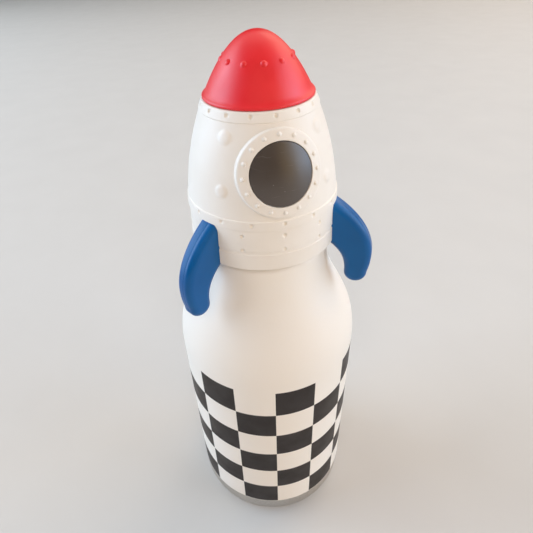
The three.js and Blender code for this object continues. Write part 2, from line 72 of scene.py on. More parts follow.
BODY_R = corners("outer_shell")[1].x
PAINT_LOW = corners("outer_shell")[0].z
RIM_Z = corners("inner_vessel")[1].z
LINER_LOW = corners("inner_vessel")[0].z
STEEL = 0.6
LINER_R = BODY_R - STEEL - 2.4
SHOULDER_Z = 98
NECK_BASE = (23.6, 141)
NECK_STEP_Z = 147.6
NECK_R = 20.4
THREAD = {"r": NECK_R, "start": 151, "pitch": 5, "turns": 1.8, "bead": 0.9, "rise": 0.6}

SKIRT_Z = corners("rocket_hull")[0].z
NOSE_Z = corners("nose_cone")[0].z
NOSE_TOP = corners("nose_cone")[1].z
HULL_TOP = NOSE_Z - GAP
WAIST_Z, WAIST_R = 158.5, 25.6
SKIRT_FLARE = 0.035  # radius gained per mm below the waist
OGIVE = 0.0061  # radius lost per mm squared above the waist
HULL_WALL = 1.5
GROOVE = (152.7, 153.8, -0.22)  # low, high, height
BELT = (161.75, 165.05, 0.38)
TOP_BELT = (192.7, 200, 0.32)
DIMPLE_ROWS = [(22.5, 163.9), (22.5, 194.4), (30, 159.6), (30, 154.4)]  # azimuth step, height
BOSSES = [(azimuth, z) for azimuth in (-45, 42) for z in (173.6, 188.7)]
DIMPLE = (0.72, -0.6, 0.9)  # radius, height and power, as for the bumps below
BOSS, BOSS_CAP = (2.25, 1.7, 1.3), 0.5  # a boss levels off at the cap's height
SHELL_FOOT = [(-0.5, 0), (-0.2, 0.08), (-0.05, 0.22)]  # rounded lower edge: steps out and up
SHELL_BRIM = [(-0.05, -0.12), (-0.15, -0.03), (-0.35, 0)]
EAR_SPANS = [(-7.6, -5.4), (5.4, 7.6)]  # the shell's hinge ears, along X
KNUCKLE_SPANS = [(-5.1, -2.5), (2.5, 5.1)]  # the nose's, between them

WINDOW_Z = 178.9
WINDOW_OUT = joint("button_press")["axis"][1]
WINDOW_RISE = -joint("button_press")["axis"][2]
RING_IN, RING_OUT, RING_TOP = 9.58, 13.1, 1.3
RIVET_CIRCLE = 11.4
RING_RIVET = (0.64, 0.5, 0.6)
BUTTON_R = 9.45
BUTTON_PROUD, BUTTON_FALL = 1.95, 0.8  # the dome's height over the shell, and its drop to the edge

NOSE_R = 17
NOSE_RIVETS = (12, -5.3, 206.2)  # count, first azimuth, height
NOSE_RIVET = (0.92, 0.52, 0.8)
HINGE_Y, HINGE_Z = [v / MM for v in joint("nose_flip")["pos_m"][1:]]
LATCH_Y, LATCH_Z = [v / MM for v in joint("latch_rock")["pos_m"][1:]]

FIN_AZIMUTHS = {"fin_left": -58.3, "fin_right": 60, "fin_rear": 180}
FIN_ROOT_THICK, FIN_TIP_THICK = 8, 6
FIN_REACH = 39.8
FIN_EDGE = 2.6  # rounding
FIN_CUT = 24.6  # the blade starts inside the shell's wall

DECK_LOW, DECK_HIGH, DECK_R = 191, 193, corners("spout_deck")[1].x
COLLAR_LOW = corners("lid_collar")[0].z
COLLAR_R = corners("lid_collar")[1].x
COLLAR_DECK = (163.5, 165.5)
TUBE_R = 7.2
SPOUT_TOP = corners("spout")[1].z

CHECK = {"columns": 14, "first": -62.72, "top": 95.9, "low": 10.5, "rows": 6}

# ---- materials -----------------------------------------------------------------------------------


class Finish:
    """A material under construction. Nodes are added by kind, and fed numbers, colours or outputs."""

    def __init__(self, name, **sockets):
        self.material = bpy.data.materials.new(name)
        self.material.use_nodes = True
        self.tree = self.material.node_tree
        self.shader = self.tree.nodes["Principled BSDF"]
        self.place = self.add("TexCoord").outputs["Object"]
        for key, value in sockets.items():
            self.feed(self.shader.inputs[key.replace("_", " ")], value)

    def feed(self, socket, value):
        if isinstance(value, bpy.types.NodeSocket):
            self.tree.links.new(value, socket)
        else:
            socket.default_value = value

    def add(self, kind, inputs=None, **settings):
        node = self.tree.nodes.new("ShaderNode" + kind)
        for key, value in settings.items():
            setattr(node, key, value)
        for key, value in (inputs or {}).items():
            self.feed(node.inputs[key], value)
        return node

    def math(self, operation, *values):
        return self.add("Math", dict(enumerate(values)), operation=operation).outputs[0]

    def noise(self, size, detail=3.0, stretch=(1, 1, 1), place=None):
        """Noise from 0 to 1 whose grains are about `size` millimetres, drawn out by `stretch`."""
        shrink = [1 / s for s in stretch]
        scaled = self.add("VectorMath", {0: place or self.place, 1: shrink}, operation="MULTIPLY")
        inputs = {"Vector": scaled.outputs[0], "Scale": 1 / (size * MM), "Detail": detail}
        return self.add("TexNoise", inputs).outputs["Fac"]

    def spread(self, factor, low, high, from_low=0.3, from_high=0.7):
        """A number from `low` to `high` as `factor` goes over its usual range."""
        inputs = {0: factor, 1: from_low, 2: from_high, 3: low, 4: high}
        return self.add("MapRange", inputs, clamp=True).outputs[0]

    def blend(self, factor, first, second):
        """One colour turning into another."""
        node = self.add("Mix", data_type="RGBA")
        self.feed(node.inputs[0], factor)
        self.feed(node.inputs[6], first)
        self.feed(node.inputs[7], second)
        return node.outputs[2]

    def bump(self, *layers):
        """Bump from (height from 0 to 1, depth in millimetres) layers."""
        normal = None
        for height, depth in layers:
            inputs = {"Height": height, "Distance": depth * MM, "Strength": 1.0}
            if normal:
                inputs["Normal"] = normal
            normal = self.add("Bump", inputs).outputs[0]
        self.feed(self.shader.inputs["Normal"], normal)

    def colour(self, value):
        self.feed(self.shader.inputs["Base Color"], value)

    def rough(self, value):
        self.feed(self.shader.inputs["Roughness"], value)


def rgb(red, green, blue):
    """A colour from its 0-255 screen values."""
    linear = [c / 255 / 12.92 if c <= 10 else ((c / 255 + 0.055) / 1.055) ** 2.4 for c in (red, green, blue)]
    return (*linear, 1.0)


def coat_finish():
    """Cream powder coat with fine orange peel, and a printed black check on the straight wall."""
    f = Finish("powder_coat_check", Specular_IOR_Level=0.38)
    x, y, z = f.add("SeparateXYZ", {0: f.place}).outputs
    azimuth = f.math("ARCTAN2", x, f.math("MULTIPLY", y, -1.0))
    width = 2 * math.pi / CHECK["columns"]
    height = (CHECK["top"] - CHECK["low"]) / CHECK["rows"] * MM
    across = f.math("DIVIDE", f.math("SUBTRACT", azimuth, math.radians(CHECK["first"])), width)
    down = f.math("DIVIDE", f.math("SUBTRACT", CHECK["top"] * MM, z), height)
    cell = f.add("CombineXYZ", {0: across, 1: down, 2: 0.5}).outputs[0]
    light = f.add("TexChecker", {"Vector": cell, "Scale": 1.0}).outputs["Fac"]
    under_top = f.math("GREATER_THAN", down, 0.0)
    over_low = f.math("LESS_THAN", down, float(CHECK["rows"]))
    printed = f.math("MULTIPLY", under_top, over_low)
    black = f.math("MULTIPLY", printed, f.math("SUBTRACT", 1.0, light))
    patches = f.noise(26, 2)
    cream = f.blend(patches, rgb(240, 231, 219), rgb(244, 236, 225))
    speck = f.noise(0.5, 2)
    ink = f.blend(speck, rgb(30, 21, 17), rgb(38, 28, 23))
    f.colour(f.blend(black, cream, ink))
    peel = f.noise(0.9, 2)
    smudge = f.spread(f.noise(9, 4), 0.36, 0.5)
    f.rough(f.math("ADD", smudge, f.math("MULTIPLY", black, 0.05)))
    f.bump((peel, 0.02), (f.noise(0.22, 2), 0.006), (black, 0.02))
    return f.material


def moulded_finish(name, dark, light, rough, grain=0.3, depth=0.012, **sockets):
    """Moulded plastic or rubber: slight drift of colour, spark-eroded grain and uneven gloss."""
    patch = 14.0  # size of the patches of colour, in millimetres
    f = Finish(name, **sockets)
    f.colour(f.blend(f.spread(f.noise(patch, 3), 0.0, 1.0), dark, light))
    f.rough(f.spread(f.noise(patch * 0.45, 4), *rough))
    f.bump((f.noise(grain, 2), depth), (f.noise(grain * 9, 2), depth * 1.6))
    return f.material


def window_finish():
    """Dark semi-gloss plastic with hairline scratches and a few dust specks."""
    f = Finish("dark_window", Specular_IOR_Level=0.95, Coat_Weight=0.15, Coat_Roughness=0.3)
    warp = f.noise(7, 2)
    hair = f.add("CombineXYZ", {0: warp, 1: warp, 2: warp}).outputs[0]
    shifted = f.add("VectorMath", {0: hair, 1: (0.004, 0.004, 0.004), 2: f.place}, operation="MULTIPLY_ADD")
    lines = f.noise(0.35, 2, (22, 22, 1), place=shifted.outputs[0])
    scratch = f.spread(lines, 0.0, 1.0, 0.66, 0.72)
    dust = f.add("TexVoronoi", {"Vector": f.place, "Scale": 1 / (2.6 * MM)}, feature="F1").outputs["Distance"]
    speck = f.spread(dust, 1.0, 0.0, 0.03, 0.07)
    tone = f.blend(f.noise(5, 3), rgb(66, 56, 48), rgb(74, 63, 55))
    scratched = f.blend(f.math("MULTIPLY", scratch, 0.2), tone, rgb(150, 146, 142))
    f.colour(f.blend(f.math("MULTIPLY", speck, 0.35), scratched, rgb(200, 196, 190)))
    f.rough(f.math("ADD", f.spread(f.noise(4, 4), 0.36, 0.44), f.math("MULTIPLY", speck, 0.3)))
    f.bump((scratch, 0.004), (f.noise(0.5, 2), 0.003))
    return f.material


def steel_finish(name, around, rough=(0.24, 0.4)):
    """Brushed stainless steel: fine lines round the axis, or only a light grain on small pieces."""
    f = Finish(name, Metallic=1.0, Specular_IOR_Level=0.5)
    if around:
        x, y, z = f.add("SeparateXYZ", {0: f.place}).outputs
        turn = f.math("MULTIPLY", f.math("ARCTAN2", x, y), 0.004)
        flat = f.add("CombineXYZ", {0: x, 1: y, 2: 0.0}).outputs[0]
        out = f.add("VectorMath", {0: flat}, operation="LENGTH").outputs["Value"]
        place = f.add("CombineXYZ", {0: turn, 1: out, 2: z}).outputs[0]
    else:
        place = f.place
    lines = f.noise(0.16, 3, place=place)
    f.colour(f.blend(lines, (0.52, 0.485, 0.44, 1), (0.66, 0.62, 0.57, 1)))
    f.rough(f.spread(lines, *rough))
    f.bump((lines, 0.008), (f.noise(12, 2), 0.02))
    return f.material


COAT = coat_finish()
CREAM = moulded_finish("cream_plastic", rgb(239, 230, 218), rgb(244, 236, 225), (0.36, 0.5))
RED = moulded_finish(
    "red_rubber", rgb(230, 14, 24), rgb(238, 20, 30), (0.4, 0.5), grain=0.22, depth=0.008,
    Specular_IOR_Level=0.86,
)
BLUE = moulded_finish(
    "blue_plastic", rgb(0, 86, 148), rgb(2, 93, 157), (0.28, 0.36), grain=0.26, depth=0.01,
    Specular_IOR_Level=0.34,
)
DARK = window_finish()
CLEAR = moulded_finish(
    "frosted_silicone", rgb(226, 229, 230), rgb(236, 238, 238), (0.36, 0.5), grain=0.5, depth=0.01,
    Subsurface_Weight=0.15, Subsurface_Scale=0.002,
)
STRAW = moulded_finish(
    "frosted_straw", rgb(214, 224, 232), rgb(224, 232, 238), (0.3, 0.42), grain=0.6, depth=0.008,
    Subsurface_Weight=0.12, Subsurface_Scale=0.002,
)
GREY = moulded_finish("grey_plastic", rgb(196, 197, 198), rgb(206, 206, 206), (0.42, 0.55))
BRUSHED = steel_finish("brushed_steel", around=True)
WIRE = steel_finish("drawn_steel", around=False, rough=(0.2, 0.32))

# ---- mesh tools ----------------------------------------------------------------------------------


def solid(name, points, faces, material):
    """A smooth mesh object from points in millimetres. Coinciding points merge, and normals face out."""
    mesh = bpy.data.meshes.new(name)
    mesh.from_pydata((np.asarray(points) * MM).tolist(), [], faces)
    shape = bmesh.new()
    shape.from_mesh(mesh)
    bmesh.ops.remove_doubles(shape, verts=shape.verts, dist=1e-7)
    bmesh.ops.recalc_face_normals(shape, faces=shape.faces)
    shape.to_mesh(mesh)
    shape.free()
    mesh.materials.append(material)
    piece = bpy.data.objects.new(name, mesh)
    bpy.context.scene.collection.objects.link(piece)
    return piece


def wrap(name, rows, material, closed=True):
    """A surface through rows of points, each row a loop. Closed joins the last row to the first."""
    rows = np.asarray(rows, float)
    index = np.arange(rows.shape[0] * rows.shape[1]).reshape(rows.shape[:2])
    beside = np.roll(index, -1, 1)
    quads = np.stack([index, beside, np.roll(beside, -1, 0), np.roll(index, -1, 0)], -1)
    kept = quads if closed else quads[:-1]
    return solid(name, rows.reshape(-1, 3), kept.reshape(-1, 4).tolist(), material)


def ring(radius, z, azimuths):
    """A row of points round the axis."""
    turn = np.radians(azimuths)
    return np.stack([radius * np.sin(turn), -radius * np.cos(turn), z + 0 * turn], -1)


def soften(outline, steps=4):
    """An outline of (x, z) or (x, z, cut) points. A corner with a cut is rounded off over that length."""
    result = []
    count = len(outline)
    for i, (x, z, *cut) in enumerate(outline):
        corner = np.array([x, z], float)
        if not cut:
            result.append(corner)
            continue
        before = np.array(outline[i - 1][:2], float) - corner
        after = np.array(outline[(i + 1) % count][:2], float) - corner
        reach = [min(cut[0] / np.linalg.norm(side), 0.49) for side in (before, after)]
        start, end = corner + before * reach[0], corner + after * reach[1]
        for u in np.linspace(0, 1, steps + 1):
            result.append((1 - u) ** 2 * start + 2 * u * (1 - u) * corner + u**2 * end)
    return result


def revolve(name, outline, material, columns=96):
    """A solid of revolution. An outline that starts and ends on the axis stays open there."""
    points = soften(outline)
    azimuths = np.arange(columns) * 360 / columns
    on_axis = points[0][0] == 0 and points[-1][0] == 0
    return wrap(name, [ring(r, z, azimuths) for r, z in points], material, closed=not on_axis)


def bezier(p0, p1, p2, p3, count):
    """Points on a cubic curve, both ends included."""
    u = np.linspace(0, 1, count)[:, None]
    p0, p1, p2, p3 = (np.array(p, float) for p in (p0, p1, p2, p3))
    return (1 - u) ** 3 * p0 + 3 * u * (1 - u) ** 2 * p1 + 3 * u**2 * (1 - u) * p2 + u**3 * p3


def arc(centre, radius, start, end, count=8):
    """Points on a circular arc, angles in degrees."""
    return [
        (centre[0] + radius * math.cos(a), centre[1] + radius * math.sin(a))
        for a in np.radians(np.linspace(start, end, count + 1))
    ]


def prism(name, outline, x_low, x_high, bevel, material):
    """A (y, z) outline carried along X, with its edges rounded."""
    points = [(x, y, z) for x in (x_low, x_high) for y, z in outline]
    count = len(outline)
    sides = [[i, (i + 1) % count, count + (i + 1) % count, count + i] for i in range(count)]
    ends = [list(range(count)), list(range(2 * count - 1, count - 1, -1))]
    piece = solid(name, points, [*ends, *sides], material)
    shape = bmesh.new()
    shape.from_mesh(piece.data)
    corner = math.radians(30)
    sharp = [e for e in shape.edges if e.calc_face_angle(0) > corner]
    bmesh.ops.bevel(
        shape, geom=sharp, offset=bevel * MM, segments=3, profile=0.5, affect="EDGES", clamp_overlap=True,
    )
    shape.to_mesh(piece.data)
    shape.free()
    return piece


def box(name, low, high, bevel, material):
    """A block between two corners, with its edges rounded."""
    outline = [(low[1], low[2]), (high[1], low[2]), (high[1], high[2]), (low[1], high[2])]
    return prism(name, outline, low[0], high[0], bevel, material)


def rod(name, radius, x_low, x_high, y, z, bevel, material, columns=48):
    """A round bar along X."""
    outline = arc((y, z), radius, 0, 360 - 360 / columns, columns - 1)
    return prism(name, outline, x_low, x_high, bevel, material)


def combine(piece, others, operation):
    """Joins the others to a piece, or cuts them from it, and removes them."""
    for other in others:
        modifier = piece.modifiers.new(operation.lower(), "BOOLEAN")
        modifier.operation = operation
        modifier.object = other
        modifier.solver = "EXACT"
    evaluated = piece.evaluated_get(bpy.context.evaluated_depsgraph_get())
    mesh = bpy.data.meshes.new_from_object(evaluated)
    piece.modifiers.clear()
    piece.data = mesh
    for other in others:
        bpy.data.objects.remove(other)
    return piece


def join(piece, *others):
    return combine(piece, others, "UNION")


def cut(piece, *others):
    return combine(piece, others, "DIFFERENCE")


def wire(name, points, radius, material, radii=None, sides=3):
    """A round wire along the points; radii scale its thickness at each point."""
    curve = bpy.data.curves.new(name, "CURVE")
    curve.dimensions = "3D"
    curve.bevel_depth = radius * MM
    curve.bevel_resolution = sides
    curve.use_fill_caps = True
    line = curve.splines.new("POLY")
    line.points.add(len(points) - 1)
    for i, place in enumerate(points):
        line.points[i].co = (*(c * MM for c in place), 1)
        line.points[i].radius = 1 if radii is None else radii[i]
    curve.materials.append(material)
    piece = bpy.data.objects.new(name, curve)
    bpy.context.scene.collection.objects.link(piece)
    return piece


def keep(piece, body, slot, *nodes, sharp=40):
    """Finishes a piece: its shading, the body it rides on and the CAD nodes it stands for. The slot is not
    used.
    """
    if piece.type == "MESH":
        piece.data.shade_smooth()
        piece.data.set_sharp_from_angle(angle=math.radians(sharp))
        normals = piece.modifiers.new("face_weighted_normals", "WEIGHTED_NORMAL")
        normals.keep_sharp = True
    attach(piece, body)
    if nodes:
        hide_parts(*nodes)
    return piece


def stations(low, high, step, *fine):
    """Rising places from low to high, a step apart, and closer round each (centre, reach, step) of `fine`."""
    places = list(np.linspace(low, high, max(2, round((high - low) / step) + 1)))
    for centre, reach, small in fine:
        near = np.arange(-round(reach / small), round(reach / small) + 1) * small + centre
        places = [p for p in places if not near[0] - small / 2 < p < near[-1] + small / 2] + list(near)
    places = sorted(p for p in places if low - 1e-9 <= p <= high + 1e-9)
    least = min(small for _, _, small in fine) / 4
    return np.array([p for i, p in enumerate(places) if i == 0 or p - places[i - 1] > least])


def bumps(points, centres, radius, height, power):
    """How far bumps, or dimples if the height is negative, move a surface. Low powers are blunt."""
    moved = np.zeros(points.shape[:-1])
    for centre in centres:
        share = 1 - ((points - centre) ** 2).sum(-1) / radius**2
        moved += height * np.clip(share, 0, 1) ** power
    return moved


def step(z, place, width=0.35):
    """Smooth rise from 0 to 1 at a place."""
    share = np.clip((z - place) / width + 0.5, 0, 1)
    return share * share * (3 - 2 * share)


# ---- steel bottle --------------------------------------------------------------------------------


def coated_shell():
    """Outer steel wall with its coat, from the bare base cup up to the neck's thread."""
    shoulder = bezier((BODY_R, SHOULDER_Z), (BODY_R, 119), (24, 124), NECK_BASE, 36)
    inner = bezier((BODY_R - STEEL, SHOULDER_Z), (BODY_R - STEEL, 118.6), (23.4, 123.4), (23, 141), 14)
    straight = [(BODY_R, z) for z in np.linspace(PAINT_LOW + 6, SHOULDER_Z - 6, 12)]
    outline = [
        (BODY_R - STEEL, PAINT_LOW), (BODY_R, PAINT_LOW, 0.3), *straight, *map(tuple, shoulder),
        (NECK_BASE[0], 144.4, 1.6), (NECK_R, NECK_STEP_Z, 1.2), (NECK_R, RIM_Z - 1),
        (NECK_R - STEEL, RIM_Z - 1), (NECK_R - STEEL, NECK_STEP_Z - 0.3), (23, 144.1),
        *map(tuple, inner[::-1]),
    ]
    piece = revolve("coated_shell", outline, COAT, columns=168)
    piece.data.materials.append(BRUSHED)
    for face in piece.data.polygons:
        inside = Vector((face.center.x, face.center.y)).dot(Vector((face.normal.x, face.normal.y))) < 0
        face.material_index = int(inside or face.center.z > (NECK_STEP_Z - 0.4) * MM)
    return keep(piece, "bottle", "painted_shell", "outer_shell")


def thread_wire(name, radius, start, side, material):
    """A thread that runs out at both ends. Side 1 starts it on +X and side -1 on -X."""
    turn = np.linspace(0, THREAD["turns"], 140)
    points = np.stack([
        side * radius * np.cos(turn * 2 * np.pi), side * radius * np.sin(turn * 2 * np.pi),
        start + THREAD["pitch"] * turn,
    ], -1)
    radii = np.clip(np.minimum(turn, THREAD["turns"] - turn) / 0.12, 0.15, 1) ** 0.5
    return wire(name, points, THREAD["bead"], material, radii)


def neck_thread():
    """Rolled thread of the neck."""
    piece = thread_wire("neck_thread", THREAD["r"], THREAD["start"], 1, BRUSHED)
    return keep(piece, "bottle", "bare_steel")


def drink_liner():
    """Steel liner with its folded lip."""
    neck = NECK_R - STEEL - GAP
    low = LINER_LOW
    inner_r = LINER_R - STEEL
    outside = bezier((LINER_R, 97), (LINER_R, 115), (20.2, 121), (neck, 139), 22)
    inside = bezier((neck - STEEL, 139), (19.6, 120.6), (inner_r, 114.6), (inner_r, 97), 22)
    outline = [
        (0, low), (LINER_R, low, 5), *map(tuple, outside), (neck, RIM_Z - 0.7), (NECK_R, RIM_Z - 0.7, 0.2),
        (NECK_R, RIM_Z, 0.4), (neck - STEEL, RIM_Z, 0.5), *map(tuple, inside), (inner_r, low + STEEL, 5),
        (0, low + STEEL),
    ]
    return keep(revolve("drink_liner", outline, BRUSHED, columns=128), "bottle", "bare_steel", "inner_vessel")


def steel_base():
    """Bare steel cup that closes the wall's bottom, with its foot ring."""
    r = BODY_R - 0.15
    locate = BODY_R - STEEL - 0.35
    outline = [
        (2.5, 2.4), (27, 2.4, 0.5), (28, 1.4, 0.4), (28, 0, 0.3), (r, 0, 5.2), (r, PAINT_LOW - 0.2, 0.25),
        (locate, PAINT_LOW - 0.2), (locate, 13), (locate - STEEL, 13), (locate - STEEL, 9.2), (r - STEEL, 9),
        (r - STEEL, STEEL, 4.8), (28.6, STEEL), (28.6, 1.6), (27.3, 3), (2.5, 3),
    ]
    return keep(revolve("steel_base", outline, BRUSHED, columns=144), "bottle", "bare_steel", "base_cup")


def foot_plate():
    """Cover plate under the base, with a shallow pressed ring."""
    outline = [
        (0, 0.25), (9, 0.25, 0.8), (10, 0, 0.8), (20, 0, 0.8), (21, 0.25, 0.8), (23, 0.25, 0.8), (24, 0, 0.8),
        (27.6, 0, 0.3), (27.7, STEEL), (0, STEEL),
    ]
    return keep(revolve("foot_plate", outline, BRUSHED, columns=128), "bottle", "bare_steel", "base_plate")


# ---- rocket shell --------------------------------------------------------------------------------


def hull_radius(z):
    """Smooth radius of the lid's shell: a slight flare below the waist and an ogive above it."""
    z = np.asarray(z, float)
    return np.where(z < WAIST_Z, WAIST_R + SKIRT_FLARE * (WAIST_Z - z), WAIST_R - OGIVE * (z - WAIST_Z) ** 2)


def belted_radius(z):
    """The shell's radius with its groove and raised belts."""
    relief = sum(height * (step(z, low) - step(z, high)) for low, high, height in (GROOVE, BELT, TOP_BELT))
    return hull_radius(z) + relief


def rocket_shell():
    """Cream shell with belts, dimples and bosses, the window's hole and two hinge ears."""
    dimple_places = [(i * gap, z) for gap, z in DIMPLE_ROWS for i in range(int(360 / gap))]
    dimple_azimuths = sorted({azimuth for azimuth, _ in dimple_places})
    fine = [(a, 2.8, 0.4) for a in (*dimple_azimuths, 360)]
    fine += [(azimuth % 360, 5.6, 0.8) for azimuth in {azimuth for azimuth, _ in BOSSES}]
    azimuths = stations(0, 360, 2.5, *fine)[:-1]
    rows = stations(
        SKIRT_Z + 0.5, HULL_TOP - 0.3, 1.3,
        *[(z, 0.3, 0.06) for z in (*GROOVE[:2], *BELT[:2], TOP_BELT[0])],
        *[(z, 2.4, 0.3) for _, z in BOSSES[:2]],
        *[(z, 0.8, 0.16) for _, z in DIMPLE_ROWS],
    )
    out = np.array([ring(belted_radius(z), z, azimuths) for z in rows])
    slope = 2 * OGIVE * np.clip(rows - WAIST_Z, 0, None)[:, None, None]
    flat = out * (1, 1, 0) / np.linalg.norm(out[..., :2], axis=-1, keepdims=True)
    normal = (flat + slope * np.array([0, 0, 1])) / np.sqrt(1 + slope**2)
    dimples, bosses = (
        [ring(belted_radius(z), z, [azimuth])[0] for azimuth, z in places]
        for places in (dimple_places, BOSSES)
    )
    moved = bumps(out, dimples, *DIMPLE) + BOSS_CAP * np.tanh(bumps(out, bosses, *BOSS))
    out = out + normal * moved[..., None]
    foot, brim = (
        [ring(belted_radius(z) + dr, z + dz, azimuths) for dr, dz in edge]
        for z, edge in ((SKIRT_Z, SHELL_FOOT), (HULL_TOP, SHELL_BRIM))
    )
    lining = [(15.9, HULL_TOP), (15.9, DECK_HIGH + 0.2), (16.9, 192.8), (17.4, 189)]
    lining += [(float(hull_radius(z)) - HULL_WALL, z) for z in np.linspace(188.6, SKIRT_Z + 0.4, 10)]
    lining += [(float(hull_radius(SKIRT_Z)) - HULL_WALL + 0.3, SKIRT_Z)]
    inner = [ring(r, z, azimuths) for r, z in lining]
    piece = wrap("rocket_shell", [*foot, *out, *brim, *inner], CREAM)
    hole = window_plug("window_hole", 11.2)
    slots = [fin_block(azimuth) for azimuth in FIN_AZIMUTHS.values()]
    piece = cut(piece, hole, *slots)
    ears = [hinge_ear(f"ear_{i}", *span, 16.4, 190.6, 195.3, CREAM) for i, span in enumerate(EAR_SPANS)]
    piece = join(piece, *ears)
    return keep(piece, "lid", "cream_plastic", "rocket_hull", sharp=50)


def hinge_ear(name, x_low, x_high, web_front, web_low, web_high, material):
    """An ear of the nose hinge: a web that ends in a knuckle, with the pin's hole."""
    knuckle = 1.6
    outline = [
        (web_front, web_low), (HINGE_Y + 0.4, HINGE_Z - 1.55),
        *arc((HINGE_Y, HINGE_Z), knuckle, -70, 110, 14), (web_front, web_high),
    ]
    ear = prism(name, outline, x_low, x_high, 0.25, material)
    return cut(ear, rod(name + "_bore", 0.85, -9, 9, HINGE_Y, HINGE_Z, 0.01, material, 32))


def on_hull(across, up, offset):
    """The shell's surface, moved out by `offset`, behind places in the window's own plane."""
    depth = 0 * (across + up)
    for _ in range(10):
        z = WINDOW_Z + up * WINDOW_OUT + depth * WINDOW_RISE
        y = -np.sqrt((hull_radius(z) + offset) ** 2 - across**2)
        depth = (up * WINDOW_RISE - hull_radius(WINDOW_Z) - y) / WINDOW_OUT
    return np.stack([across + 0 * y, y, z], -1)


def window_rows(profile, columns, rivets=()):
    """Rows round the window from a (distance from its axis, height over the shell) profile."""
    turn = np.radians(np.arange(columns) * 360 / columns)
    rows = []
    for radius, offset in profile:
        place = np.stack([radius * np.cos(turn), radius * np.sin(turn)], -1)
        raised = bumps(place, rivets, *RING_RIVET) if offset > 1 else 0
        rows.append(on_hull(place[:, 0], place[:, 1], offset + raised))
    return rows


def window_plug(name, radius):
    """A plain plug along the window's axis, to cut the shell with."""
    turn = np.radians(np.arange(96) * 3.75)
    axis = np.array([0, -WINDOW_OUT, WINDOW_RISE])
    up = np.array([0, WINDOW_RISE, WINDOW_OUT])
    middle = np.array([0, -float(hull_radius(WINDOW_Z)), WINDOW_Z])
    side = radius * (np.cos(turn)[:, None] * np.array([1, 0, 0]) + np.sin(turn)[:, None] * up)
    rows = [middle + share * side + along * axis for along, share in ((-9, 0), (-9, 1), (5, 1), (5, 0))]
    return wrap(name, rows, CREAM, closed=False)


def porthole_ring():
    """Raised ring round the window with sixteen small rivets."""
    profile = soften([
        (RING_IN, -2.1), (RING_IN, RING_TOP, 0.25), *[(r, RING_TOP) for r in np.arange(10.6, 12.4, 0.11)],
        (RING_OUT - 0.05, RING_TOP - 0.05, 0.5), (RING_OUT + 0.05, 0.1), (RING_OUT + 0.25, -0.06),
        (RING_OUT - 0.3, -0.4), (10.9, -0.4), (10.9, -2.1),
    ])
    turn = np.radians(np.arange(16) * 22.5)
    rivets = RIVET_CIRCLE * np.stack([np.cos(turn), np.sin(turn)], -1)
    piece = wrap("porthole_ring", window_rows(profile, 480, rivets), CREAM)
    return keep(piece, "lid", "cream_plastic", "window_ring", sharp=60)


def porthole_button():
    """Dark domed button: face, side, hidden flange and stem."""
    radii = np.linspace(0.3, BUTTON_R - 0.3, 24)
    dome = [(r, BUTTON_PROUD - BUTTON_FALL * (r / BUTTON_R) ** 2) for r in radii]
    profile = soften([
        (0, BUTTON_PROUD), *dome, (BUTTON_R, 1.14, 0.22), (BUTTON_R, -2.4), (11, -2.4, 0.2), (11, -3.6, 0.2),
        (1.7, -3.6, 0.3), (1, -8.2, 0.3), (0, -8.2),
    ])
    piece = wrap("porthole_button", window_rows(profile, 160), DARK, closed=False)
    return keep(piece, "button", "dark_plastic", "window_button", sharp=60)


# ---- fins ----------------------------------------------------------------------------------------


def fin_turn(azimuth):
    """Turns the plane of +X to a fin's azimuth."""
    return Matrix.Rotation(math.radians(azimuth - 90), 4, "Z")


def fin_block(azimuth):
    """The slot that a fin's tenon sits in."""
    block = box("fin_slot", (20, -1.7, 150.3), (30, 1.7, 158.7), 0.01, CREAM)
    block.data.transform(fin_turn(azimuth))
    return block


def inset(outline, distance):
    """A closed anticlockwise outline moved inwards."""
    along = np.roll(outline, -1, 0) - np.roll(outline, 1, 0)
    normal = np.stack([-along[:, 1], along[:, 0]], -1)
    return outline + distance * normal / np.linalg.norm(normal, axis=1, keepdims=True)


